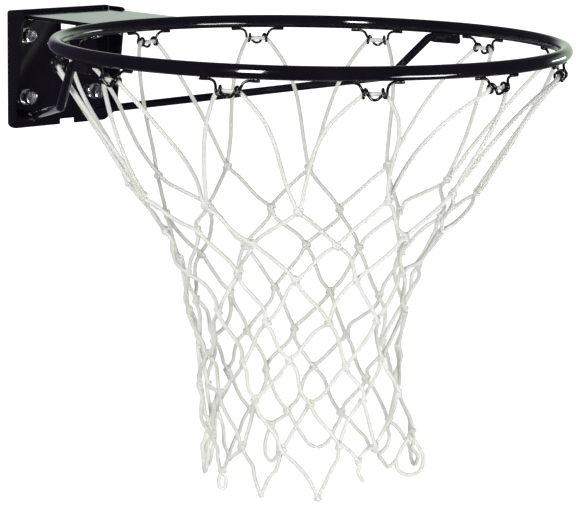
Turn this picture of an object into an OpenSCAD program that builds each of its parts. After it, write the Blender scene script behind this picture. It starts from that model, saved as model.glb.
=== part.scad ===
// Fixed basketball ring on a backboard bracket, with its net.
// Origin: middle of the bolt pattern, on the back face that meets the board.
// +Z is up, the board lies in the plane y = 0, and the ring reaches out along -Y.

/* [Ring] */
// Inside diameter of the ring
ring_bore = 457.2; // [440:0.1:475]
// Diameter of the ring's round bar
bar_d = 12.7; // [11:0.1:16]
// Gap between the board and the inside of the ring
board_gap = 152.4; // [140:0.1:170]
// Height of the ring's centre plane above the middle of the bolt pattern
ring_rise = 51.5; // [48:0.5:56]

/* [Bracket] */
// Width of the back bracket over its side flanges
bracket_w = 134; // [124:1:150]
// Height of the back bracket
bracket_h = 121.5; // [116:0.5:130]
// Top edge of the back bracket above the ring's centre plane
bracket_top = 6.5; // [5:0.5:10]
// Thickness of the bracket's sheet steel
sheet_t = 3; // [2.5:0.5:3.5]
// Depth of a side flange at its top, measured from the board
flange_top_d = 27.5; // [22:1:36]
// Depth of a side flange at its bottom, measured from the board
flange_low_d = 14; // [10:1:20]

/* [Top plate] */
// Width of the top plate
plate_w = 120; // [90:1:122]
// Thickness of the top plate
plate_t = 4; // [3:0.5:5]
// Upper face of the top plate above the ring's centre plane
plate_top = 3; // [1:0.5:4]

/* [Bolts] */
// Spacing of the bolt holes across the board
bolt_dx = 88.9; // [80:0.1:96]
// Spacing of the bolt holes up the board
bolt_dz = 63.5; // [60:0.1:76]
// Diameter of a bolt's shank
bolt_d = 7.94; // [6:0.01:8.5]
// Width across the flats of a bolt's head
head_af = 12.7; // [10:0.1:14]
// How far a bolt stands out behind the bracket
stud_len = 22; // [15:1:40]

/* [Braces] */
// Diameter of a brace rod
brace_d = 8; // [6:0.5:10]
// Length of the flattened end that is welded under the ring
paddle_len = 32; // [20:1:40]
// Thickness of the flattened end
paddle_t = 4.5; // [3:0.5:6]

/* [Net hooks] */
// Number of net hooks around the ring
hook_n = 12; // [12:1:12]
// Diameter of the hook wire
wire_d = 2.8; // [2:0.1:3.5]

/* [Net] */
// Diameter of the net's cord
cord_d = 4; // [3:0.1:5]
// Wall of the plain sleeve that stands for the knotted cords
net_wall = 1.2; // [0.8:0.1:2]

/* [Hidden] */

$fn = 64;
// Gap left along a weld line or a seat, so that no two pieces share material
seam = 0.1;
// Round joints in a wire or a cord are this much thicker than its straight runs
joint_swell = 1.08;
curl_swell = 1.04;

bar_r = bar_d / 2;
ring_r = ring_bore / 2 + bar_r;
ring_y = -(board_gap + ring_bore / 2);

steel = "#17181b";
zinc = "#b9bcc0";
nylon = "#efeee6";

// Bracket outline
bracket_z1 = ring_rise + bracket_top;
bracket_z0 = bracket_z1 - bracket_h;
top_corner_r = 6;
low_corner_r = 11;
bend_r = 4;
flange_lip_r = 4;
// The lower front corner of a flange stands this far above the bracket's bottom edge
flange_rise = 9;

// Locating slot under the top plate and locating notch in the bottom edge
slot_x = 12;
slot_w = 21;
slot_h = 8;
slot_z = ring_rise - 12.5;
notch_x = 10;
notch_w = 20;
notch_h = 5.5;

// Bolts: the plain shank inside the bracket is a little thicker than the threaded end behind it
hole_d = bolt_d + 1.06;
shank_d = bolt_d + 0.4;
washer_od = 17.5;
washer_t = 2;
head_h = 9;
head_y = -(sheet_t + washer_t);

// Brace route on the right-hand side: foot on the bracket, bend, and end inside the paddle.
// Heights are measured from the ring's centre plane.
brace_foot = [33.7, -1.8, -104.1];
brace_bend = [209.5, -277, -53];
brace_head = [229.5, -319.2, -8.9];
// Angle of the paddle's near end, measured at the ring's centre from the bracket's direction
paddle_a0 = 74.5;
paddle_z1 = -5.3;
paddle_z0 = -15.4;

// Net hook, in its own frame: X along the ring, Y outwards, Z up from the underside of the bar
foot_in = 15;
foot_out = 27.5;
curl_x = 7.6;
curl_z = -10.4;
curl_r = 3.9;
dip_r = 4.3;
dip_z = -11.2;

// Net rows from the top down: height from the ring's centre plane, and radius of the cords there.
// The first row is just under the hooks, the last is the tips of the bottom loops, and the rows
// between them are the knots.
net_rows = [[-25, 227], [-66, 203], [-125, 168], [-162, 137], [-200, 118], [-240, 104],
    [-280, 96], [-320, 93], [-360, 96], [-408, 96]];

// Rotation that lays the Z axis along the vector v
function tilt(v) = [0, acos(v.z / norm(v)), atan2(v.y, v.x)];
// Point at angle a around the ring's axis, at radius r and height z above the ring's centre plane
function around(a, r, z) = [r * cos(a), ring_y + r * sin(a), ring_rise + z];
function hook_angle(i) = 90 + 360 / hook_n * (i - 1);

module bar(a, b, d) {
    translate(a)
        rotate(tilt(b - a))
            cylinder(h = norm(b - a), d = d);
}

// Straight runs of bar through all the points, with a round joint at each of them
module chain(points, d) {
    for (i = [0:len(points) - 1]) {
        translate(points[i])
            sphere(d = d * joint_swell);
        if (i > 0)
            bar(points[i - 1], points[i], d);
    }
}

module ring() {
    color(steel)
        translate([0, ring_y, ring_rise])
            rotate_extrude($fn = 180)
                translate([ring_r, 0])
                    circle(d = bar_d);
}

// Outline of the bracket seen from the front, standing on the XZ plane and reaching forward by depth
module rounded_front(depth) {
    for (corner = [[bracket_z0 + low_corner_r, low_corner_r], [bracket_z1 - top_corner_r, top_corner_r]])
        for (sx = [-1, 1])
            translate([sx * (bracket_w / 2 - corner[1]), 0, corner[0]])
                rotate([90, 0, 0])
                    cylinder(h = depth, r = corner[1]);
    translate([-bracket_w / 2, -depth, bracket_z0 + low_corner_r])
        cube([bracket_w, depth, bracket_h - low_corner_r - top_corner_r]);
    translate([-bracket_w / 2 + low_corner_r, -depth, bracket_z0])
        cube([bracket_w - 2 * low_corner_r, depth, bracket_h]);
    translate([-bracket_w / 2 + top_corner_r, -depth, bracket_z1 - top_corner_r])
        cube([bracket_w - 2 * top_corner_r, depth, top_corner_r]);
}

// Plan section of the folded sheet: a back with a flange bent forward at each side
module folded_section() {
    inner_r = bend_r - sheet_t;
    reach = flange_top_d;
    difference() {
        union() {
            translate([-bracket_w / 2, -reach])
                square([bracket_w, reach - bend_r]);
            translate([-bracket_w / 2 + bend_r, -bend_r])
                square([bracket_w - 2 * bend_r, bend_r]);
            for (sx = [-1, 1])
                translate([sx * (bracket_w / 2 - bend_r), -bend_r])
                    circle(r = bend_r);
        }
        translate([-bracket_w / 2 + sheet_t, -reach - 1])
            square([bracket_w - 2 * sheet_t, reach + 1 - bend_r]);
        translate([-bracket_w / 2 + bend_r, -bend_r - 1])
            square([bracket_w - 2 * bend_r, bend_r + 1 - sheet_t]);
        for (sx = [-1, 1])
            translate([sx * (bracket_w / 2 - bend_r), -bend_r])
                circle(r = inner_r);
    }
}

// Side view of a flange: deep at the top and shallow at the bottom, with rounded front corners
module flange_profile() {
    r = flange_lip_r;
    low_z = bracket_z0 + flange_rise;
    translate([-bracket_w / 2 - 1, 0, 0])
        rotate([90, 0, 90])
            linear_extrude(bracket_w + 2)
                union() {
                    polygon([[0.5, bracket_z0 - 0.5], [0.5, bracket_z1 + 0.5],
                             [-flange_top_d + r, bracket_z1 + 0.5], [-flange_top_d + r, bracket_z1 - r],
                             [-flange_top_d, bracket_z1 - r], [-flange_low_d, low_z + r],
                             [-flange_low_d + r, low_z], [-bend_r, low_z - flange_rise / 2],
                             [-bend_r, bracket_z0 - 0.5]]);
                    translate([-flange_top_d + r, bracket_z1 - r])
                        circle(r = r);
                    translate([-flange_low_d + r, low_z + r])
                        circle(r = r);
                }
}

module back_bracket() {
    color(steel)
        difference() {
            intersection() {
                translate([0, 0, bracket_z0])
                    linear_extrude(bracket_h)
                        folded_section();
                rounded_front(flange_top_d + 1);
                flange_profile();
            }
            for (sx = [-1, 1])
                for (sz = [-1, 1])
                    translate([sx * bolt_dx / 2, 1, sz * bolt_dz / 2])
                        rotate([90, 0, 0])
                            cylinder(h = sheet_t + 2, d = hole_d);
            translate([slot_x - slot_w / 2, -sheet_t - 1, slot_z - slot_h / 2])
                cube([slot_w, sheet_t + 2, slot_h]);
            translate([notch_x - notch_w / 2, -sheet_t - 1, bracket_z0 - 1])
                cube([notch_w, sheet_t + 2, notch_h + 1]);
        }
}

module top_plate() {
    z = ring_rise + plate_top - plate_t;
    reach = board_gap;
    color(steel)
        difference() {
            translate([-plate_w / 2, -reach, z])
                cube([plate_w, reach - sheet_t, plate_t]);
            translate([0, ring_y, z - 1])
                cylinder(h = plate_t + 2, r = ring_r + bar_r + seam, $fn = 180);
        }
}

// Flattened end of a brace, centred at angle a under the ring
module paddle(a) {
    translate(around(a, ring_r, paddle_z0))
        rotate([0, 0, a - 90])
            translate([-paddle_len / 2, -paddle_t / 2, 0])
                cube([paddle_len, paddle_t, paddle_z1 - paddle_z0]);
}

// Right-hand brace, cut flush with the bracket and saddled to the ring
module brace() {
    rise = [0, 0, ring_rise];
    difference() {
        union() {
            chain([brace_foot + rise, brace_bend + rise, brace_head + rise], brace_d);
            paddle(90 - paddle_a0 - paddle_len / ring_r * 90 / PI);
        }
        translate([0, -sheet_t, -100])
            cube([120, 40, 200]);
        translate([0, ring_y, ring_rise])
            rotate_extrude($fn = 180)
                translate([ring_r, 0])
                    circle(r = bar_r + seam);
    }
}

module brace_right() {
    color(steel)
        brace();
}

module brace_left() {
    color(steel)
        mirror([1, 0, 0])
            brace();
}

// Bolt with its head on the ring's side of the bracket
module bolt(sx, sz) {
    color(zinc)
        translate([sx * bolt_dx / 2, 0, sz * bolt_dz / 2]) {
            translate([0, head_y, 0])
                rotate([90, 0, 0])
                    cylinder(h = head_h, r = head_af / 2 / cos(30), $fn = 6);
            translate([0, stud_len, 0])
                rotate([90, 0, 0])
                    cylinder(h = stud_len, d = bolt_d);
            rotate([90, 0, 0])
                cylinder(h = -head_y, d = shank_d);
        }
}

module washer(sx, sz) {
    color(zinc)
        translate([sx * bolt_dx / 2, -sheet_t, sz * bolt_dz / 2])
            rotate([90, 0, 0])
                difference() {
                    cylinder(h = washer_t, d = washer_od);
                    translate([0, 0, -1])
                        cylinder(h = washer_t + 2, d = hole_d);
                }
}

// One half of a net hook: foot, leg, curl and the side of the middle dip
module hook_half() {
    foot_z = -wire_d * joint_swell / 2 - seam;
    chain([[foot_out, 0, foot_z], [foot_in, 0, foot_z], [foot_in - 5, 0, curl_z + 2],
           [curl_x, 0, curl_z - curl_r]], wire_d);
    chain([[curl_x, 0, curl_z + curl_r], [dip_r, 0, dip_z]], wire_d);
    translate([curl_x, 0, curl_z])
        rotate([0, 90, 0])
            rotate_extrude()
                translate([curl_r, 0])
                    circle(d = wire_d * curl_swell);
}

module net_hook(i) {
    color(steel)
        translate(around(hook_angle(i), ring_r, -bar_r))
            rotate([0, 0, hook_angle(i) - 90]) {
                hook_half();
                mirror([1, 0, 0])
                    hook_half();
                translate([0, 0, dip_z])
                    rotate([90, 0, 0])
                        rotate([0, 0, 180])
                            rotate_extrude(angle = 180)
                                translate([dip_r, 0])
                                    circle(d = wire_d);
            }
}

// Plain thin sleeve in the place of the knotted cord net, open at the top and at the bottom
module net() {
    outer = [for (row = net_rows) [row[1] + cord_d / 2, row[0]]];
    inset = cord_d / 2 - net_wall;
    inner = [for (i = [len(net_rows) - 1:-1:0]) [net_rows[i][1] + inset, net_rows[i][0]]];
    color(nylon)
        translate([0, ring_y, ring_rise])
            rotate_extrude($fn = 180)
                polygon(concat(outer, inner));
}

ring();
back_bracket();
top_plate();
brace_left();
brace_right();
bolt(-1, 1);  // bolt_upper_left
bolt(1, 1);  // bolt_upper_right
bolt(-1, -1);  // bolt_lower_left
bolt(1, -1);  // bolt_lower_right
washer(-1, 1);  // washer_upper_left
washer(1, 1);  // washer_upper_right
washer(-1, -1);  // washer_lower_left
washer(1, -1);  // washer_lower_right
net_hook(1);  // net_hook_01
net_hook(2);  // net_hook_02
net_hook(3);  // net_hook_03
net_hook(4);  // net_hook_04
net_hook(5);  // net_hook_05
net_hook(6);  // net_hook_06
net_hook(7);  // net_hook_07
net_hook(8);  // net_hook_08
net_hook(9);  // net_hook_09
net_hook(10);  // net_hook_10
net_hook(11);  // net_hook_11
net_hook(12);  // net_hook_12
net();
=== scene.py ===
import math

import bmesh
import bpy
import numpy as np
from mathutils import Matrix, Vector


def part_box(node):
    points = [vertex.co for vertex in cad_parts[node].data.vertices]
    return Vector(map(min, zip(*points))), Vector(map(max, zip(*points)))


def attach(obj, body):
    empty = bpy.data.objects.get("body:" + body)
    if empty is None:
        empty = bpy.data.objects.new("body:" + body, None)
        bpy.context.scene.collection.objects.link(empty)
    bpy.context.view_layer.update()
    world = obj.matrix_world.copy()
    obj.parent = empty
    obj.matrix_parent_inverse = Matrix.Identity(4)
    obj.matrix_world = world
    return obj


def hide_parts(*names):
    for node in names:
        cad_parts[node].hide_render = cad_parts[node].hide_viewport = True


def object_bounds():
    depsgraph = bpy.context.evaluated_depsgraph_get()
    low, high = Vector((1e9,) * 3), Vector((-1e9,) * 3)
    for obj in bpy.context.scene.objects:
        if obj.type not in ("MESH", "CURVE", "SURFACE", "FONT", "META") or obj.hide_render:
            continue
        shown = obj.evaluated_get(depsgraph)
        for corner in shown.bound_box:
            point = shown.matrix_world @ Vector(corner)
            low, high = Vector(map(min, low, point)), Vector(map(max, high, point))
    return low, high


# A fixed basketball ring: black enamelled steel, zinc plated bolts and a knotted white cord net.
# Everything is in metres, in the frame of the CAD model: the board is the plane y = 0, +Z is up
# and the ring reaches out along -Y.
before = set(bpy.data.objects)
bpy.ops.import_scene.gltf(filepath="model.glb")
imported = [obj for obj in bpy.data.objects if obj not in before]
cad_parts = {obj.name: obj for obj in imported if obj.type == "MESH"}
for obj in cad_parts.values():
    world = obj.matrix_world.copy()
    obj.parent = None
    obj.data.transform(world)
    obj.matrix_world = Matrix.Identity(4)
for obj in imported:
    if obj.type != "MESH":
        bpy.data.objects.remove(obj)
cad_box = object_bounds()
UP = Vector((0, 0, 1))
rng = np.random.default_rng(20)

# ---------------------------------------------------------------------------------------------
# Places and sizes taken from the frame
# ---------------------------------------------------------------------------------------------
ring_lo, ring_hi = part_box("ring")
ring_centre = (ring_lo + ring_hi) / 2
bar_r = (ring_hi.z - ring_lo.z) / 2
ring_r = (ring_hi.x - ring_lo.x) / 2 - bar_r
plate_lo, plate_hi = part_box("top_plate")
pan_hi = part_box("back_bracket")[1]
sheet_t = -plate_hi.y
hook_names = sorted(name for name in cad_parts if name.startswith("net_hook_"))
HOOKS = len(hook_names)
FIRST_HOOK_ANGLE = math.pi / 2

# Brace rods: foot on the bracket, bend, and head where the flattened end starts, on the right side.
# Heights are measured from the ring's centre plane.
BRACE_R = 0.004
BRACE_FOOT = (0.0337, -0.0018, -0.1041)
BRACE_BEND = (0.2095, -0.277, -0.053)
BRACE_HEAD = (0.2262, -0.3152, -0.0107)
PADDLE_FROM, PADDLE_LENGTH = math.radians(14.7), 0.029
PADDLE_TALL, PADDLE_THICK = 0.0101, 0.0045

# Radii of the weld beads: along the plate, round a brace's foot, under a brace's flat end, at a hook
PLATE_BEAD, FOOT_BEAD, FLAT_BEAD, HOOK_BEAD = 0.0016, 0.0016, 0.0013, 0.00115

# Bolts: plain shank, thread and its pitch, and the bore of a washer
SHANK_R, THREAD_R, THREAD_PITCH = 0.00400, 0.00397, 0.00141
WASHER_BORE = 0.0045

# Hook wire, in the hook's own frame: along the ring, outwards, and up from the bar's underside
WIRE_R = 0.0013
EYE_X, EYE_Z, EYE_R = 0.0078, -0.0104, 0.0038
FOOT_IN, FOOT_OUT = 0.0155, 0.0272

# Net, from the top row of knots down to the tips of the bottom loops. Each row has its depth below the
# ring's plane, its radius, how far its middle hangs out of the axis, and how far its knots have slid
# round the net towards the same side.
CORD_R = 0.0020
NET_ROWS = [(0.125, 0.160, -0.005, 0.0), (0.162, 0.133, -0.005, 0.0), (0.200, 0.113, -0.006, 0.0),
            (0.240, 0.103, -0.005, 0.0), (0.280, 0.096, -0.007, -0.003), (0.320, 0.094, -0.003, -0.014),
            (0.360, 0.096, 0.004, -0.021), (0.402, 0.101, 0.009, -0.023)]
KNOT_ROWS = TIPS = len(NET_ROWS) - 1
FAR_DROP = 0.011
# How each bottom loop ends: a tied point, a plain bow, a loose tail, or a hanging eye
TIP_STYLES = ["point", "bow", "bow", "small eye", "point", "point",
              "tail", "wide eye", "bow", "bow", "bow", "long eye"]
# The small knot's height above the tip, and the half width and length of the eye under it
TIP_EYES = {"small eye": (0.015, 0.0036, 0.017), "wide eye": (0.043, 0.0130, 0.037),
            "long eye": (0.026, 0.0064, 0.038)}
TAIL_RISE = 0.028
# How far two of the loops hang to the side, in the camera's view
TIE_ASIDE = {"wide eye": -0.006, "tail": -0.015}
# A knot that has slipped round the net: its row and its place in half hooks, and how far
SLIPPED = {(6, 13): -0.014}


# ---------------------------------------------------------------------------------------------
# Camera
# ---------------------------------------------------------------------------------------------
VIEW_AZIMUTH = math.radians(-43.3)
VIEW_ELEVATION = math.radians(5.8)
CAMERA_DISTANCE = 2.2815
CAMERA_PITCH, CAMERA_YAW, CAMERA_ROLL = (math.radians(a) for a in (4.83, -0.4435, 0.9))
LENS, SENSOR = 153.9, 36.0

to_camera = Vector((math.sin(VIEW_AZIMUTH), -math.cos(VIEW_AZIMUTH), 0))
image_right = Vector((math.cos(VIEW_AZIMUTH), math.sin(VIEW_AZIMUTH), 0))


def place_camera():
    """A long lens a little above the ring, pitched down to take in the whole net."""
    down = VIEW_ELEVATION + CAMERA_PITCH
    ahead = math.sin(CAMERA_YAW) * image_right - math.cos(CAMERA_YAW) * to_camera
    forward = math.cos(down) * ahead - math.sin(down) * UP
    side = math.cos(CAMERA_YAW) * image_right + math.sin(CAMERA_YAW) * to_camera
    over = side.cross(forward)
    right = math.cos(CAMERA_ROLL) * side + math.sin(CAMERA_ROLL) * over
    over = right.cross(forward)
    data = bpy.data.cameras.new("camera")
    data.lens, data.sensor_width = LENS, SENSOR
    data.clip_start, data.clip_end = 0.05, 200
    camera = bpy.data.objects.new("camera", data)
    bpy.context.scene.collection.objects.link(camera)
    camera.matrix_world = Matrix((right, over, -forward)).transposed().to_4x4()
    camera.location = ring_centre + CAMERA_DISTANCE * (
        math.cos(VIEW_ELEVATION) * to_camera + math.sin(VIEW_ELEVATION) * UP)
    bpy.context.scene.camera = camera


# ---------------------------------------------------------------------------------------------
# Materials
# ---------------------------------------------------------------------------------------------
def new_material(name):
    """A node material with its Principled shader, and a helper that adds linked nodes."""
    material = bpy.data.materials.new(name)
    material.use_nodes = True
    tree = material.node_tree
    shader = tree.nodes["Principled BSDF"]

    def add(kind, **settings):
        node = tree.nodes.new(kind)
        for key, value in settings.items():
            if hasattr(node, key):
                setattr(node, key, value)
            else:
                socket = node.inputs[key.replace("_", " ")]
                if isinstance(value, bpy.types.NodeSocket):
                    tree.links.new(value, socket)
                else:
                    socket.default_value = value
        return node

    return material, tree, shader, add


def colour_mix(tree, blend, factor=None):
    """A colour mix: its two colour inputs and its colour output. Without a factor it is fully mixed."""
    node = tree.nodes.new("ShaderNodeMix")
    node.data_type, node.blend_type = "RGBA", blend
    node.inputs["Factor"].default_value = 1.0
    if factor is not None:
        tree.links.new(factor, node.inputs["Factor"])
    # the colour sockets of a Mix node come after its number and vector sockets of the same names
    first, second = [s for s in node.inputs if s.type == "RGBA"]
    return first, second, [s for s in node.outputs if s.type == "RGBA"][0]


def ramp(add, factor, low, high, at=(0.3, 0.7)):
    """Colour ramp from one colour to another over a stretch of the factor."""
    node = add("ShaderNodeValToRGB", Fac=factor)
    for stop, place, colour in zip(node.color_ramp.elements, at, (low, high)):
        stop.position = place
        stop.color = (*colour, 1)
    return node.outputs["Color"]


def spread(add, factor, low, high, at=(0.3, 0.7)):
    """Map a factor onto a plain range of values."""
    node = add("ShaderNodeMapRange", Value=factor)
    node.inputs["From Min"].default_value, node.inputs["From Max"].default_value = at
    node.inputs["To Min"].default_value, node.inputs["To Max"].default_value = low, high
    return node.outputs["Result"]


def enamel(name, rough, peel):
    """Stoved black gloss enamel: slight orange peel, faint haze and fine rub marks."""
    material, tree, shader, add = new_material(name)
    at = add("ShaderNodeTexCoord").outputs["Object"]
    haze = add("ShaderNodeTexNoise", Vector=at, Scale=38.0, Detail=5.0, Roughness=0.6).outputs["Fac"]
    grain = add("ShaderNodeTexNoise", Vector=at, Scale=620.0, Detail=2.0).outputs["Fac"]
    swell = add("ShaderNodeTexNoise", Vector=at, Scale=170.0, Detail=2.0).outputs["Fac"]
    cells = add("ShaderNodeTexVoronoi", Vector=at, Scale=95.0, feature="DISTANCE_TO_EDGE")
    colour = ramp(add, haze, (0.0036, 0.0029, 0.0054), (0.0066, 0.0052, 0.0112))
    tree.links.new(colour, shader.inputs["Base Color"])
    rub = spread(add, cells.outputs["Distance"], 0.02, 0.0, at=(0.0, 0.02))
    base = spread(add, haze, rough, rough + 0.04)
    mixed = add("ShaderNodeMath", operation="ADD")
    tree.links.new(rub, mixed.inputs[0])
    tree.links.new(base, mixed.inputs[1])
    tree.links.new(mixed.outputs[0], shader.inputs["Roughness"])
    low = add("ShaderNodeBump", Height=swell, Strength=peel, Distance=0.0004).outputs["Normal"]
    fine = add("ShaderNodeBump", Height=grain, Strength=peel * 0.6, Distance=0.0001, Normal=low)
    tree.links.new(fine.outputs["Normal"], shader.inputs["Normal"])
    shader.inputs["IOR"].default_value = 1.5
    shader.inputs["Coat Weight"].default_value = 0.35
    shader.inputs["Coat Roughness"].default_value = 0.06
    return material


def zinc_plate():
    """Bright zinc plate: pale grey metal with a faint blue cast, blotches and fine drawing marks."""
    material, tree, shader, add = new_material("zinc_plate")
    at = add("ShaderNodeTexCoord").outputs["Object"]
    blotch = add("ShaderNodeTexNoise", Vector=at, Scale=260.0, Detail=4.0, Roughness=0.65).outputs["Fac"]
    marks = add("ShaderNodeTexNoise", Vector=at, Scale=1500.0, Detail=3.0).outputs["Fac"]
    colour = ramp(add, blotch, (0.66, 0.70, 0.71), (0.90, 0.92, 0.89))
    tree.links.new(colour, shader.inputs["Base Color"])
    tree.links.new(spread(add, blotch, 0.12, 0.30), shader.inputs["Roughness"])
    bump = add("ShaderNodeBump", Height=marks, Strength=0.25, Distance=0.00005)
    tree.links.new(bump.outputs["Normal"], shader.inputs["Normal"])
    shader.inputs["Metallic"].default_value = 1.0
    return material


def nylon_cord():
    """White braided cord with fine filaments; painted shade darkens its grooves grey green between the
    bright crowns.
    """
    material, tree, shader, add = new_material("nylon_cord")
    at = add("ShaderNodeTexCoord").outputs["Object"]
    height = add("ShaderNodeAttribute", attribute_name="braid_height").outputs["Fac"]
    soil = add("ShaderNodeTexNoise", Vector=at, Scale=24.0, Detail=4.0).outputs["Fac"]
    fibre = add("ShaderNodeTexNoise", Vector=at, Scale=2600.0, Detail=2.0).outputs["Fac"]
    # painted shade: the colour goes grey green and darker where the braid is low, standing in for shade in
    # its grooves
    painted_groove_shade = ramp(add, height, (0.50, 0.52, 0.43), (0.90, 0.90, 0.87), at=(0.0, 0.55))
    tint = ramp(add, soil, (0.93, 0.95, 0.88), (1.0, 1.0, 1.0), at=(0.35, 0.6))
    first, second, result = colour_mix(tree, "MULTIPLY")
    tree.links.new(painted_groove_shade, first)
    tree.links.new(tint, second)
    tree.links.new(result, shader.inputs["Base Color"])
    tree.links.new(spread(add, fibre, 0.62, 0.82), shader.inputs["Roughness"])
    bump = add("ShaderNodeBump", Height=fibre, Strength=0.35, Distance=0.0001)
    tree.links.new(bump.outputs["Normal"], shader.inputs["Normal"])
    shader.inputs["Specular IOR Level"].default_value = 0.35
    shader.inputs["Sheen Weight"].default_value = 0.25
    shader.inputs["Sheen Roughness"].default_value = 0.5
    return material


def studio_floor():
    """Plain white studio sweep with a barely visible mottle."""
    material, tree, shader, add = new_material("studio_floor")
    at = add("ShaderNodeTexCoord").outputs["Object"]
    mottle = add("ShaderNodeTexNoise", Vector=at, Scale=0.6, Detail=2.0).outputs["Fac"]
    tree.links.new(ramp(add, mottle, (0.90, 0.90, 0.90), (0.93, 0.93, 0.93)), shader.inputs["Base Color"])
    shader.inputs["Roughness"].default_value = 0.9
    shader.inputs["Emission Color"].default_value = (1, 1, 1, 1)
    shader.inputs["Emission Strength"].default_value = 1.0
    return material


# ---------------------------------------------------------------------------------------------
# Mesh helpers
# ---------------------------------------------------------------------------------------------
def make_object(name, verts, faces, material, attribute=None, sharp=math.radians(40)):
    """A mesh object from points and faces, smooth except across sharp edges."""
    mesh = bpy.data.meshes.new(name)
    mesh.from_pydata([tuple(v) for v in verts], [], [tuple(f) for f in faces])
    edit = bmesh.new()
    edit.from_mesh(mesh)
    bmesh.ops.recalc_face_normals(edit, faces=edit.faces)
    for face in edit.faces:
        face.smooth = True
    for edge in edit.edges:
        edge.smooth = edge.calc_face_angle(0) < sharp
    edit.to_mesh(mesh)
    edit.free()
    if attribute is not None:
        layer = mesh.attributes.new("braid_height", "FLOAT", "POINT")
        layer.data.foreach_set("value", np.asarray(attribute, np.float32))
    mesh.materials.append(material)
    obj = bpy.data.objects.new(name, mesh)
    bpy.context.scene.collection.objects.link(obj)
    return obj


def even_line(points, step):
    """The same line with its points at even distances of about one step."""
    points = np.asarray(points, float)
    along = np.concatenate([[0], np.cumsum(np.linalg.norm(np.diff(points, axis=0), axis=1))])
    count = max(2, int(round(along[-1] / step)) + 1)
    places = np.linspace(0, along[-1], count)
    return np.stack([np.interp(places, along, points[:, k]) for k in range(3)], axis=1)


def curve_through(points, step, samples=14):
    """A centripetal Catmull-Rom curve through the points, at even steps."""
    p = np.asarray(points, float)
    p = np.concatenate([[2 * p[0] - p[1]], p, [2 * p[-1] - p[-2]]])
    made = []
    for a, b, c, d in zip(p[:-3], p[1:-2], p[2:-1], p[3:]):
        t0 = 0.0
        t1 = t0 + np.linalg.norm(b - a) ** 0.5
        t2 = t1 + np.linalg.norm(c - b) ** 0.5
        t3 = t2 + np.linalg.norm(d - c) ** 0.5
        t = np.linspace(t1, t2, samples, endpoint=False)[:, None]
        ab = (t1 - t) / (t1 - t0) * a + (t - t0) / (t1 - t0) * b
        bc = (t2 - t) / (t2 - t1) * b + (t - t1) / (t2 - t1) * c
        cd = (t3 - t) / (t3 - t2) * c + (t - t2) / (t3 - t2) * d
        abc = (t2 - t) / (t2 - t0) * ab + (t - t0) / (t2 - t0) * bc
        bcd = (t3 - t) / (t3 - t1) * bc + (t - t1) / (t3 - t1) * cd
        made.append((t2 - t) / (t2 - t1) * abc + (t - t1) / (t2 - t1) * bcd)
    return even_line(np.concatenate(made + [p[-2:-1]]), step)


def line_frames(line, start=(0.0, 0.0, 1.0)):
    """Two directions across a line at each point, carried along it without twisting."""
    tangents = np.gradient(line, axis=0)
    tangents /= np.linalg.norm(tangents, axis=1)[:, None]
    across = np.empty_like(line)
    side = np.asarray(start, float)
    for i, t in enumerate(tangents):
        side = side - t * (side @ t)
        length = np.linalg.norm(side)
        side = side / length if length > 1e-6 else np.cross(t, (1.0, 0.0, 0.0))
        across[i] = side
    return across, np.cross(tangents, across)


def swept(line, section, start=(0.0, 0.0, 1.0)):
    """Points and faces of a closed solid: section gives each point's offsets, (points, sides, 2)."""
    first, second = line_frames(line, start)
    count, sides = section.shape[:2]
    verts = line[:, None] + section[..., :1] * first[:, None] + section[..., 1:] * second[:, None]
    i = np.arange(count - 1)[:, None] * sides
    j = np.arange(sides)[None]
    k = (j + 1) % sides
    quads = np.stack([i + j, i + k, i + k + sides, i + j + sides], axis=-1).reshape(-1, 4)
    caps = [list(range(sides))[::-1], list(range((count - 1) * sides, count * sides))]
    return verts.reshape(-1, 3), quads.tolist() + caps


def round_section(radii, sides):
    """Round sections of the given radii: one radius a point, or one a point and side."""
    radii = np.asarray(radii, float)
    radii = radii[:, None] if radii.ndim == 1 else radii
    angle = np.linspace(0, 2 * math.pi, sides, endpoint=False)
    return np.stack([radii * np.cos(angle), radii * np.sin(angle)], axis=-1)


def domed(radii, line, reach):
    """The radii, with both ends rounded off over the given reach."""
    along = np.concatenate([[0], np.cumsum(np.linalg.norm(np.diff(line, axis=0), axis=1))])
    inset = np.minimum(along, along[-1] - along)
    ease = np.sqrt(np.clip(1 - (1 - np.clip(inset / reach, 0, 1)) ** 2, 0.03, 1))
    return np.asarray(radii) * (ease if np.ndim(radii) == 1 else ease[:, None])


def joined(parts):
    """Several (points, faces) put together as one."""
    verts, faces, offset = [], [], 0
    for points, polygons in parts:
        verts.append(points)
        faces += [[v + offset for v in polygon] for polygon in polygons]
        offset += len(points)
    return np.concatenate(verts), faces


def filleted(corners, radii, step):
    """A line of straight runs with a round bend at each inner corner."""
    made = [Vector(corners[0])]
    for before, corner, after, radius in zip(corners, corners[1:], corners[2:], radii):
        corner = Vector(corner)
        back, ahead = (Vector(before) - corner).normalized(), (Vector(after) - corner).normalized()
        half = back.angle(ahead) / 2
        centre = corner + (back + ahead).normalized() * radius / math.sin(half)
        start = corner + back * radius / math.tan(half)
        end = corner + ahead * radius / math.tan(half)
        for k in range(9):
            made.append(centre + (start - centre).slerp(end - centre, k / 8) * radius)
    made.append(Vector(corners[-1]))
    return even_line([tuple(p) for p in made], step)


def lathe(rings, sides):
    """Points and faces of a turned shape about Y: rings of (radius or radii, place along Y)."""
    angle = np.linspace(0, 2 * math.pi, sides, endpoint=False)
    verts = [np.stack([r * np.cos(angle), y + 0 * angle, r * np.sin(angle)], axis=1) for r, y in rings]
    faces = []
    for i in range(len(rings) - 1):
        for j in range(sides):
            k = (j + 1) % sides
            faces.append((i * sides + j, i * sides + k, (i + 1) * sides + k, (i + 1) * sides + j))
    return np.concatenate(verts), faces


def finish_piece(obj, slot, *nodes):
    """Attach the piece to the root body and hide the CAD nodes it stands for. The finish it is given is
    not used.
    """
    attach(obj, "root")
    if nodes:
        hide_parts(*nodes)
    return obj


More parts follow.
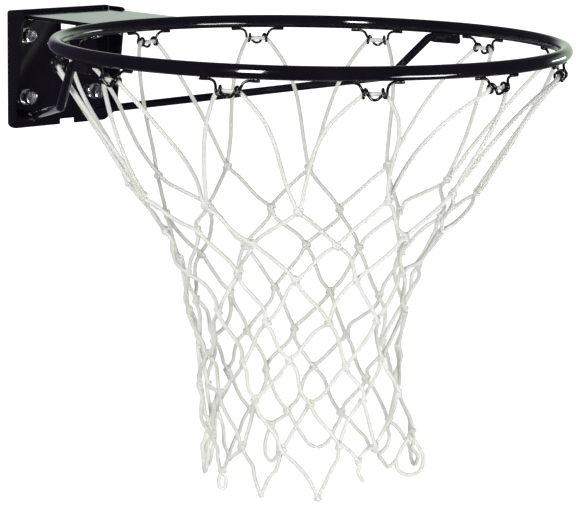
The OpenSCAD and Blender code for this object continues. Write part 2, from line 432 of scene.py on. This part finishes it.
def polar(angle, radius, height):
    """Point around the ring's axis, with its height above the ring's plane."""
    return ring_centre + Vector((radius * math.cos(angle), radius * math.sin(angle), height))


def hook_angle(place):
    """Angle of a place counted in hooks, where 0 is the hook next to the bracket."""
    return FIRST_HOOK_ANGLE + 2 * math.pi / HOOKS * place


# ---------------------------------------------------------------------------------------------
# Steel parts
# ---------------------------------------------------------------------------------------------
def bead(points, radius, step=0.0006, sides=10):
    """A weld bead along a line: rippled, uneven and rounded off at its ends."""
    line = curve_through(points, step)
    place = np.arange(len(line)) * step
    ripple = 1 + 0.10 * np.abs(np.sin(math.pi * place / 0.0019))
    wander = 1 + 0.10 * np.sin(place * 410 + rng.uniform(0, 6)) + 0.06 * np.sin(place * 1130)
    return swept(line, round_section(domed(radius * ripple * wander, line, radius * 1.3), sides))


def soften_sheet(node, width):
    """Round the cut edges of a CAD sheet part, as deburred and painted steel has them."""
    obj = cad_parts[node]
    weld = obj.modifiers.new("weld", "WELD")
    weld.merge_threshold = 0.000005
    edge = obj.modifiers.new("edge", "BEVEL")
    edge.width, edge.segments = width, 6
    edge.limit_method, edge.angle_limit = "ANGLE", math.radians(40)
    edge.use_clamp_overlap = True
    edge.harden_normals = False


def brace_line():
    """Centre line of the right-hand brace, from the bracket to the end of its flattened part."""
    rise = Vector((0, 0, ring_centre.z))
    corners = [Vector(BRACE_FOOT) + rise, Vector(BRACE_BEND) + rise, Vector(BRACE_HEAD) + rise]
    mid_z = -0.5 * PADDLE_TALL - 0.0053
    sweep = PADDLE_LENGTH / ring_r
    flat = [polar(PADDLE_FROM - sweep * k / 4, ring_r, mid_z) for k in range(5)]
    return filleted(corners + flat[1:], [0.016, 0.007, 0.03, 0.03, 0.03], 0.0012)


def rounded_box_section(wide, tall, power, sides):
    """A superellipse: round at power 2 and nearly square, with round corners, above it."""
    angle = np.linspace(0, 2 * math.pi, sides, endpoint=False)
    c, s = np.cos(angle), np.sin(angle)
    return np.stack([tall / 2 * np.sign(c) * np.abs(c) ** (2 / power),
                     wide / 2 * np.sign(s) * np.abs(s) ** (2 / power)], axis=-1)


def make_brace(name, mirrored, material):
    """A bent rod whose last stretch is hammered flat and follows the ring."""
    line = brace_line()
    sides = 32
    back = (len(line) - 1 - np.arange(len(line))) * 0.0012
    flatness = np.clip((PADDLE_LENGTH + 0.006 - back) / 0.009, 0, 1)
    flatness = flatness ** 2 * (3 - 2 * flatness)
    section = np.empty((len(line), sides, 2))
    for i, f in enumerate(flatness):
        wide = 2 * BRACE_R * (1 - f) + PADDLE_THICK * f
        tall = 2 * BRACE_R * (1 - f) + PADDLE_TALL * f
        section[i] = rounded_box_section(wide, tall, 2 + 5 * f, sides)
    section[-1] *= 0.86
    verts, faces = swept(line, section)
    keep_out = -sheet_t - 0.0001
    verts[:, 1] = np.minimum(verts[:, 1], keep_out)
    foot = line[0] + (line[4] - line[0]) * ((keep_out - line[0][1]) / (line[4][1] - line[0][1]))
    run = (line[4] - line[0]) / np.linalg.norm(line[4] - line[0])
    parts = [(verts, faces), foot_weld(foot, run)]
    for offset in (-0.0031, 0.0031):
        lap = [polar(PADDLE_FROM - PADDLE_LENGTH / ring_r * (0.06 + 0.22 * k), ring_r + offset, -0.0062)
               for k in range(5)]
        parts.append(bead([tuple(p) for p in lap], FLAT_BEAD))
    verts, faces = joined(parts)
    if mirrored:
        verts[:, 0] *= -1
    return finish_piece(make_object(name, verts, faces, material), "black_paint", name)


def foot_weld(centre, run):
    """Weld around the rod where it meets the bracket's face."""
    flat = np.array([0.0, 1.0, 0.0])
    u = np.cross(run, flat)
    u /= np.linalg.norm(u)
    v = np.cross(run, u)
    loop = []
    for k in range(13):
        a = 2 * math.pi * k / 12
        p = (BRACE_R + 0.0004) * (u * math.cos(a) + v * math.sin(a))
        p = p - run * (p @ flat) / (run @ flat)
        loop.append(tuple(centre + p))
    return bead(loop, FOOT_BEAD)


def make_welds(material):
    """Beads that join the top plate to the ring, the bracket's back and its flanges."""
    parts = []
    reach = (plate_hi.x - plate_lo.x) / 2
    half = math.asin((reach - 0.003) / (ring_r + bar_r))
    above = plate_hi.z - ring_centre.z + 0.0004
    below = plate_lo.z - ring_centre.z - 0.0004
    for height, out in ((above, 0.0062), (below, 0.0066)):
        arc = [polar(math.pi / 2 + half * (k / 6 - 1), ring_r + out, height) for k in range(13)]
        parts.append(bead([tuple(p) for p in arc], PLATE_BEAD))
    for z in (plate_hi.z + 0.0004, plate_lo.z - 0.0004):
        run = [(reach * (k / 4 - 1) * 0.97, plate_hi.y - 0.0005, z) for k in range(9)]
        parts.append(bead(run, PLATE_BEAD - 0.0001))
    flange_x = pan_hi.x - sheet_t
    mid_z = (plate_lo.z + plate_hi.z) / 2
    for side in (-1, 1):
        run = [(side * (flange_x + reach) / 2, plate_hi.y - 0.002 - 0.0045 * k, mid_z) for k in range(5)]
        parts.append(bead(run, PLATE_BEAD))
    verts, faces = joined(parts)
    return finish_piece(make_object("plate_welds", verts, faces, material), "black_paint")


# ---------------------------------------------------------------------------------------------
# Fasteners
# ---------------------------------------------------------------------------------------------
def make_bolt(name, material, turn):
    """A hex bolt: chamfered head, washer face, plain shank and a real screw thread."""
    lo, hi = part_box(name)
    centre = (lo + hi) / 2
    flat = (hi.z - lo.z) / 2
    flat = min(flat, (hi.x - lo.x) / 2)
    sides = 72
    angle = np.linspace(0, 2 * math.pi, sides, endpoint=False)
    hexagon = flat / np.cos((angle + turn) % (math.pi / 3) - math.pi / 6)
    top, under = lo.y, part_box(name.replace("bolt", "washer"))[0].y
    crown = 0.93 * flat
    slope = top + (hexagon - crown) * math.tan(math.radians(28))
    rings = [(0.0003, top + 0.0004), (crown * 0.55, top + 0.0004), (crown * 0.72, top), (crown, top)]
    rings += [(hexagon, 0.0), (hexagon, under + 0.0003)]
    rings += [(flat * 0.95, under + 0.0002), (flat * 0.95, under)]
    rings += [(SHANK_R, under), (SHANK_R, -0.0002), (THREAD_R, 0.0)]
    verts, faces = lathe(rings, sides)
    edge = slice(4 * sides, 5 * sides)
    verts[edge, 1] = slope
    steps = int((hi.y - 0.0008) / (THREAD_PITCH / 7))
    place = np.linspace(0.0002, hi.y - 0.0008, steps)
    screw = []
    for y in place:
        phase = (y / THREAD_PITCH - angle / (2 * math.pi)) % 1
        depth = np.abs(2 * phase - 1)
        fade = min(1.0, (y - 0.0002) / 0.002)
        screw.append((THREAD_R - 0.0007 * np.clip(1.25 * depth - 0.15, 0, 1) * fade, y))
    screw.append((THREAD_R - 0.0009, hi.y))
    screw.append((0.0003, hi.y))
    thread_verts, thread_faces = lathe(screw, sides)
    verts, faces = joined([(verts, faces), (thread_verts, thread_faces)])
    faces.append(list(range(sides)))
    faces.append(list(range(len(verts) - sides, len(verts)))[::-1])
    bridge = 10 * sides
    faces += [[bridge + j, bridge + (j + 1) % sides, bridge + sides + (j + 1) % sides, bridge + sides + j]
              for j in range(sides)]
    verts += np.array([centre.x, 0.0, centre.z])
    obj = make_object(name + "_detail", verts, faces, material, sharp=math.radians(32))
    return finish_piece(obj, "zinc_plate", name)


def make_washer(name, material):
    """A stamped washer: rolled upper edge and a small burr side."""
    lo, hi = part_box(name)
    centre = (lo + hi) / 2
    outer, bore, sides = (hi.x - lo.x) / 2, WASHER_BORE, 64
    r = 0.0004
    rings = [(bore, lo.y + r / 2), (bore, hi.y - r / 2), (bore + r / 2, hi.y), (outer - r / 4, hi.y),
             (outer, hi.y - r / 4), (outer, lo.y + 2 * r), (outer - 0.3 * r, lo.y + 0.8 * r),
             (outer - r, lo.y + 0.2 * r), (outer - 2 * r, lo.y), (bore + r / 2, lo.y)]
    verts, faces = lathe(rings, sides)
    last = (len(rings) - 1) * sides
    faces += [[last + j, last + (j + 1) % sides, (j + 1) % sides, j] for j in range(sides)]
    verts += np.array([centre.x, 0.0, centre.z])
    obj = make_object(name + "_detail", verts, faces, material, sharp=math.radians(50))
    return finish_piece(obj, "zinc_plate", name)


# ---------------------------------------------------------------------------------------------
# Net hooks
# ---------------------------------------------------------------------------------------------
def hook_half_line():
    """Wire from the end of one foot, down the leg and once round the cord, to the middle of the dip."""
    foot_z = -WIRE_R - 0.0002
    made = [(FOOT_OUT, 0.0, foot_z), (FOOT_OUT - 0.005, 0.0, foot_z), (FOOT_IN + 0.001, 0.0, foot_z),
            (FOOT_IN - 0.0024, 0.0002, foot_z - 0.0016), (FOOT_IN - 0.0042, 0.0012, foot_z - 0.0048)]
    turns = 9
    for k in range(turns):
        around = math.radians(90 - 360 * k / (turns - 1))
        x = EYE_X + 0.0024 - 0.0036 * k / (turns - 1)
        made.append((x, EYE_R * math.sin(around), EYE_Z - EYE_R * math.cos(around) * 0.98))
    made.append((EYE_X - 0.0030, 0.0030, EYE_Z - 0.0024))
    made.append((0.0026, 0.0018, EYE_Z - 0.0046))
    return made


def make_hook(index, material):
    """One net hook: a wire with a curl on each side, and the welds on its feet."""
    name = hook_names[index]
    half = hook_half_line()
    whole = half + [(0.0, 0.0014, EYE_Z - 0.0053)] + [(-x, y, z) for x, y, z in reversed(half)]
    line = curve_through(whole, 0.0007)
    parts = [swept(line, round_section(domed(np.full(len(line), WIRE_R), line, WIRE_R * 0.8), 14))]
    for side in (-1, 1):
        for lean in (-0.0012, 0.0012):
            start, end = FOOT_IN + rng.uniform(0.0005, 0.002), FOOT_OUT - rng.uniform(0.0, 0.0015)
            run = [(side * (start + (end - start) * k / 3), lean, -0.0007) for k in range(4)]
            parts.append(bead(run, HOOK_BEAD * rng.uniform(0.9, 1.15), sides=8))
    verts, faces = joined(parts)
    angle = hook_angle(index)
    along = np.array([math.sin(angle), -math.cos(angle), 0.0])
    out = np.array([math.cos(angle), math.sin(angle), 0.0])
    base = np.array(polar(angle, ring_r, -bar_r))
    sag = bar_r - np.sqrt(np.maximum(bar_r ** 2 - verts[:, 1] ** 2, 0))
    bend = verts[:, 0] ** 2 / (2 * ring_r)
    placed = base + verts[:, :1] * along + (verts[:, 1:2] - bend[:, None]) * out
    placed[:, 2] += verts[:, 2] + np.where(verts[:, 2] > -0.0035, sag * 0.5, 0)
    return finish_piece(make_object(name + "_wire", placed, faces, material), "black_wire", name)


# ---------------------------------------------------------------------------------------------
# Net
# ---------------------------------------------------------------------------------------------
# How far a knot may lie from its even place: round the net, up or down, and in or out
KNOT_SIDE, KNOT_DROP, KNOT_DEPTH = 0.0042, 0.0042, 0.0030
# Sizes of a mesh knot, of one that ties an eye or a tail, and of one at a pointed tip
KNOT_SIZE, TIE_SIZE, POINT_SIZE = 0.00118, 0.00105, 0.00072
# Random bow of a cord between knots, and at the last stretch, and how wide the top stretch swings out
BOW, LAST_BOW, TOP_LEAN = 0.0026, 0.0018, 0.009
# At each knot one cord lies this far outside the middle and the other this far inside
LAYER = 0.0014
# Shape of a hanging eye, in its half width and its length
EYE = [(0.62, -0.22), (1.0, -0.56), (0.74, -0.88), (0.0, -1.0),
       (-0.74, -0.88), (-1.0, -0.56), (-0.6, -0.2), (0.0, 0.0)]
# The cord that comes up beside the wide eye, which then stops at its left side
SIDE_BOW = [(-1.9, -0.62), (-1.5, -0.78), (-1.0, -0.62), (-0.5, -0.25)]
# A loose tail: how far it strays round the net, and down
TAIL = [(0.001, -0.004), (-0.0005, -0.009), (0.002, -0.015), (0.0055, -0.020)]
JITTER = {}


def knot_at(row, place):
    """Middle of a knot at a place counted in hooks, with the unevenness of a hand-knotted net."""
    key = (row, round(2 * place) % (2 * HOOKS))
    if key not in JITTER:
        JITTER[key] = rng.uniform(-1, 1, 3)
    side, drop, out = JITTER[key]
    ease = 0.6 if row == 0 else 1.0
    depth, radius, aside, slide = NET_ROWS[row]
    angle = hook_angle(place)
    facing = math.cos(angle) * to_camera.x + math.sin(angle) * to_camera.y
    angle += (slide * facing + side * KNOT_SIDE * ease + SLIPPED.get(key, 0.0)) / radius
    depth += FAR_DROP * (1 - facing) / 2 + drop * KNOT_DROP
    return polar(angle, radius + out * KNOT_DEPTH, -depth) + image_right * aside


def surface_frame(point):
    """Directions along the net, counted with the hooks, and out of it at a point."""
    out = Vector((point.x - ring_centre.x, point.y - ring_centre.y, 0)).normalized()
    return UP.cross(out), out


def shifted(point, side, out, rise):
    """The point moved along the net, outwards and upwards."""
    along, outward = surface_frame(point)
    return point + along * side + outward * out + UP * rise


def tie_point(place):
    """Where a bottom loop is tied: at its tip, or above it for an eye or a loose tail."""
    style = TIP_STYLES[round(place) % HOOKS]
    rise = TIP_EYES[style][0] if style in TIP_EYES else TAIL_RISE * (style == "tail")
    return knot_at(TIPS, place) + UP * rise + image_right * TIE_ASIDE.get(style, 0.0)


def tip_route(place, sense):
    """The last points of a cord at a bottom loop; sense is 1 for a cord that comes from lower places."""
    tip = knot_at(TIPS, place)
    style = TIP_STYLES[round(place) % HOOKS]
    if style == "bow":
        return [shifted(tip, -sense * 0.0150, 0, 0.0125),
                shifted(tip, -sense * 0.0075, 0, 0.0030),
                tip]
    if style == "point":
        return [shifted(tip, -sense * 0.0070, 0, 0.0150),
                shifted(tip, -sense * 0.0008, sense * 0.0012, 0.0015),
                shifted(tip, sense * 0.0016, sense * 0.0008, -0.0035)]
    knot = tie_point(place)
    lift = {"small eye": 0.0130, "tail": 0.0100}.get(style, 0.0050)
    into = [shifted(knot, -sense * 0.0080, 0, lift), shifted(knot, -sense * 0.0006, sense * 0.0012, 0.0)]
    if sense < 0:
        return into + [shifted(knot, 0.0010, -0.0012, -0.0030)]
    if style == "tail":
        return into + [shifted(knot, side, 0.0008, drop) for side, drop in TAIL]
    half_width, length = TIP_EYES[style][1:]
    loop = EYE
    if style == "wide eye":
        into = [knot + image_right * side * half_width + UP * drop * length for side, drop in SIDE_BOW]
        into.append(knot)
        loop = EYE[:6]
    for k, (side, drop) in enumerate(loop):
        weave = to_camera * 0.0016 * math.cos(k)
        into.append(knot + image_right * side * half_width + weave + UP * drop * length)
    return into


def strand(start, end, bow, count, lean=0.0):
    """Inner points of a cord between two knots: a soft random bow, and a lean to one side at its start."""
    along, out = surface_frame((start + end) / 2)
    sway = rng.normal(0, bow, (2, 2))
    made = []
    for k in range(1, count + 1):
        t = k / (count + 1)
        arch = 4 * t * (1 - t)
        wave = math.sin(2 * math.pi * t)
        side = sway[0][0] * arch + sway[0][1] * wave * 0.6 + lean * 6.75 * t * (1 - t) ** 2
        deep = sway[1][0] * arch + sway[1][1] * wave * 0.6
        made.append(start.lerp(end, t) + along * side + out * deep)
    return made


def half_route(index, sense):
    """A cord from its hook down to its bottom loop, always on to the next place in one sense."""
    hook = polar(hook_angle(index), ring_r, -bar_r + EYE_Z - 0.0004)
    made = [shifted(hook, sense * 0.004, 0, 0.0001), shifted(hook, sense * 0.0085, -0.0002, 0.0),
            shifted(hook, sense * 0.0112, -0.0010, -0.0022)]
    place = index + 0.5 * sense
    layer = LAYER * sense
    point = knot_at(0, place)
    made += strand(made[-1], point, BOW, 4, lean=sense * TOP_LEAN)
    for row in range(1, KNOT_ROWS):
        made.append(shifted(point, 0, layer, 0))
        place += 0.5 * sense
        below = knot_at(row, place)
        made += strand(point, below, BOW, 3)
        point = below
    made.append(shifted(point, 0, layer, 0))
    route = tip_route(place + 0.5 * sense, sense)
    made += strand(point, route[0], LAST_BOW, 2)
    return made + route


def cord_mesh(points, phase):
    """A braided cord along the points: two families of strands that wind opposite ways."""
    step, sides, pitch, strands, relief = 0.00095, 16, 0.0135, 4, 0.16
    line = curve_through([tuple(p) for p in points], step)
    place = np.arange(len(line))[:, None] * step
    angle = np.linspace(0, 2 * math.pi, sides, endpoint=False)[None]
    turn = 2 * math.pi * place / pitch
    right = np.cos(strands / 2 * (angle + turn + phase)) ** 2
    left = np.cos(strands / 2 * (angle - turn + phase)) ** 2
    height = np.maximum(right, left)
    radii = domed(CORD_R * (1 - relief + 1.25 * relief * height), line, CORD_R)
    verts, faces = swept(line, round_section(radii, sides))
    return verts, faces, height.reshape(-1), len(line) * step


def make_cords(material):
    """Twelve cords: each hangs on one hook and runs down both ways to two bottom loops."""
    lengths = []
    for index in range(HOOKS):
        down = half_route(index, -1)
        route = down[::-1] + half_route(index, 1)
        verts, faces, height, length = cord_mesh(route, rng.uniform(0, math.pi))
        lengths.append(length)
        obj = make_object(f"net_cord_{index + 1:02d}", verts, faces, material, height, sharp=math.pi)
        finish_piece(obj, "net_cord", *(["net"] if index == 0 else []))
    print(f"net cords: {sum(lengths):.2f} m in all, {min(lengths):.2f} to {max(lengths):.2f} m each")


def knot_mesh(centre, size, turn):
    """A tight overhand knot that lies in the net's surface."""
    along, out = surface_frame(centre)
    t = np.linspace(0, 2 * math.pi, 44, endpoint=False)
    x = np.sin(t) + 2 * np.sin(2 * t)
    y = np.cos(t) - 2 * np.cos(2 * t)
    z = -np.sin(3 * t)
    c, s = math.cos(turn), math.sin(turn)
    flat = np.stack([c * x - s * y, s * x + c * y, 1.5 * z], axis=1) * size
    line = np.array(centre) + flat @ np.array([along, UP, out])
    sides, strands = 10, 4
    place = np.arange(len(line))[:, None]
    angle = np.linspace(0, 2 * math.pi, sides, endpoint=False)[None]
    height = np.cos(strands / 2 * angle + place * 0.9) ** 2
    radii = CORD_R * 0.86 * (0.9 + 0.14 * height)
    ring_line = np.concatenate([line, line[:2]])
    verts, faces = swept(ring_line, round_section(np.concatenate([radii, radii[:2]]), sides))
    return verts, faces, np.concatenate([height, height[:2]]).reshape(-1)


def make_knots(material):
    """All the knots of the net, and the small ones that tie its bottom loops."""
    parts, heights = [], []
    places = [knot_at(row, place + (0.5 if row % 2 == 0 else 0.0))
              for row in range(KNOT_ROWS) for place in range(HOOKS)]
    sizes = [KNOT_SIZE] * len(places)
    for place, style in enumerate(TIP_STYLES):
        if style != "bow":
            places.append(tie_point(place))
            sizes.append(POINT_SIZE if style == "point" else TIE_SIZE)
    for centre, size in zip(places, sizes):
        verts, faces, height = knot_mesh(centre, size * rng.uniform(0.9, 1.1), rng.uniform(0, 2 * math.pi))
        parts.append((verts, faces))
        heights.append(height)
    verts, faces = joined(parts)
    obj = make_object("net_knots", verts, faces, material, np.concatenate(heights), sharp=math.pi)
    finish_piece(obj, "net_cord")


# ---------------------------------------------------------------------------------------------
# Studio
# ---------------------------------------------------------------------------------------------
def direction(right_of_camera, elevation):
    """Horizontal angle to the right of the camera as seen from the ring, and height, in degrees."""
    a, e = math.radians(right_of_camera), math.radians(elevation)
    return math.cos(e) * (math.cos(a) * to_camera + math.sin(a) * image_right) + math.sin(e) * UP


def soft_box(name, right_of_camera, elevation, distance, size, seen, cast):
    """A lamp panel that faces the ring: how bright it looks in the paint, and how bright its light is."""
    way = direction(right_of_camera, elevation)
    for part, radiance in (("seen", seen), ("cast", cast)):
        data = bpy.data.lights.new(f"{name}_{part}", "AREA")
        data.shape, data.size, data.size_y = "RECTANGLE", size[0], size[1]
        data.energy = radiance * math.pi * size[0] * size[1]
        lamp = bpy.data.objects.new(data.name, data)
        bpy.context.scene.collection.objects.link(lamp)
        lamp.location = ring_centre + way * distance
        lamp.rotation_mode = "QUATERNION"
        lamp.rotation_quaternion = way.to_track_quat("Z", "Y")
        lamp.visible_camera = False
        lamp.visible_glossy = part == "seen"
        lamp.visible_diffuse = part == "cast"


def light_studio():
    """White surround for the camera, a dim room with a bright far wall in reflections, soft boxes."""
    world = bpy.data.worlds.new("studio")
    bpy.context.scene.world = world
    world.use_nodes = True
    tree = world.node_tree
    background = tree.nodes["Background"]
    coords = tree.nodes.new("ShaderNodeTexCoord")
    facing = tree.nodes.new("ShaderNodeVectorMath")
    facing.operation = "DOT_PRODUCT"
    facing.inputs[1].default_value = tuple(direction(162, 0))
    tree.links.new(coords.outputs["Generated"], facing.inputs[0])
    wall = tree.nodes.new("ShaderNodeMapRange")
    wall.interpolation_type = "SMOOTHSTEP"
    wall.inputs["From Min"].default_value, wall.inputs["From Max"].default_value = 0.72, 0.97
    tree.links.new(facing.outputs["Value"], wall.inputs["Value"])
    split = tree.nodes.new("ShaderNodeSeparateXYZ")
    tree.links.new(coords.outputs["Generated"], split.inputs[0])
    level = tree.nodes.new("ShaderNodeMath")
    level.operation = "ABSOLUTE"
    tree.links.new(split.outputs["Z"], level.inputs[0])
    band = tree.nodes.new("ShaderNodeMapRange")
    band.interpolation_type = "SMOOTHSTEP"
    band.inputs["From Min"].default_value, band.inputs["From Max"].default_value = 0.14, 0.36
    band.inputs["To Min"].default_value, band.inputs["To Max"].default_value = 0.72, 0.0
    tree.links.new(level.outputs[0], band.inputs["Value"])
    sweep = tree.nodes.new("ShaderNodeMath")
    sweep.operation = "MULTIPLY_ADD"
    tree.links.new(wall.outputs["Result"], sweep.inputs[0])
    tree.links.new(band.outputs["Result"], sweep.inputs[1])
    sweep.inputs[2].default_value = 0.08
    rays = tree.nodes.new("ShaderNodeLightPath")
    for_gloss = tree.nodes.new("ShaderNodeMix")
    for_gloss.inputs["A"].default_value = 0.40
    tree.links.new(rays.outputs["Is Glossy Ray"], for_gloss.inputs["Factor"])
    tree.links.new(sweep.outputs[0], for_gloss.inputs["B"])
    for_camera = tree.nodes.new("ShaderNodeMix")
    for_camera.inputs["B"].default_value = 1.0
    tree.links.new(rays.outputs["Is Camera Ray"], for_camera.inputs["Factor"])
    tree.links.new(for_gloss.outputs["Result"], for_camera.inputs["A"])
    tree.links.new(for_camera.outputs["Result"], background.inputs["Strength"])
    room_colour, wall_colour, tint = colour_mix(tree, "MIX", wall.outputs["Result"])
    room_colour.default_value, wall_colour.default_value = (0.74, 0.62, 1.0, 1), (0.84, 1.0, 0.82, 1)
    plain, tinted, colour = colour_mix(tree, "MIX", rays.outputs["Is Glossy Ray"])
    plain.default_value = (1, 1, 1, 1)
    tree.links.new(tint, tinted)
    tree.links.new(colour, background.inputs["Color"])
    soft_box("window_box", -24, 13, 2.5, (0.42, 1.1), 34, 22)
    soft_box("low_box", 54, -38, 1.5, (0.56, 0.40), 20, 14)
    soft_box("back_box", 132, -4, 2.5, (0.76, 0.36), 8, 0.2)


def lay_floor():
    """A wide pale floor, well below the net."""
    size, below = 60.0, 0.95
    z = cad_box[0].z - below
    verts = [(-size, -size, z), (size, -size, z), (size, size, z), (-size, size, z)]
    floor = make_object("floor", verts, [(0, 1, 2, 3)], studio_floor())
    floor.visible_glossy = False
    floor.visible_diffuse = False


# ---------------------------------------------------------------------------------------------
# Build
# ---------------------------------------------------------------------------------------------
place_camera()
gloss = enamel("black_enamel", 0.06, 0.004)
wire_paint = enamel("black_wire_enamel", 0.10, 0.10)
plate_paint = enamel("black_sheet_enamel", 0.06, 0.012)
zinc = zinc_plate()
cord_white = nylon_cord()

for node, paint in (("ring", gloss), ("back_bracket", plate_paint), ("top_plate", plate_paint)):
    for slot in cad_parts[node].material_slots:
        slot.material = paint
soften_sheet("back_bracket", 0.0013)
soften_sheet("top_plate", 0.0009)

make_welds(plate_paint)
make_brace("brace_right", False, gloss)
make_brace("brace_left", True, gloss)
fasteners = [f"{row}_{side}" for row in ("upper", "lower") for side in ("left", "right")]
for turn, place in enumerate(fasteners):
    make_bolt("bolt_" + place, zinc, 0.3 + 0.7 * turn)
    make_washer("washer_" + place, zinc)
for index in range(HOOKS):
    make_hook(index, wire_paint)
make_cords(cord_white)
make_knots(cord_white)

lay_floor()
light_studio()
bpy.context.scene.view_settings.view_transform = "Standard"
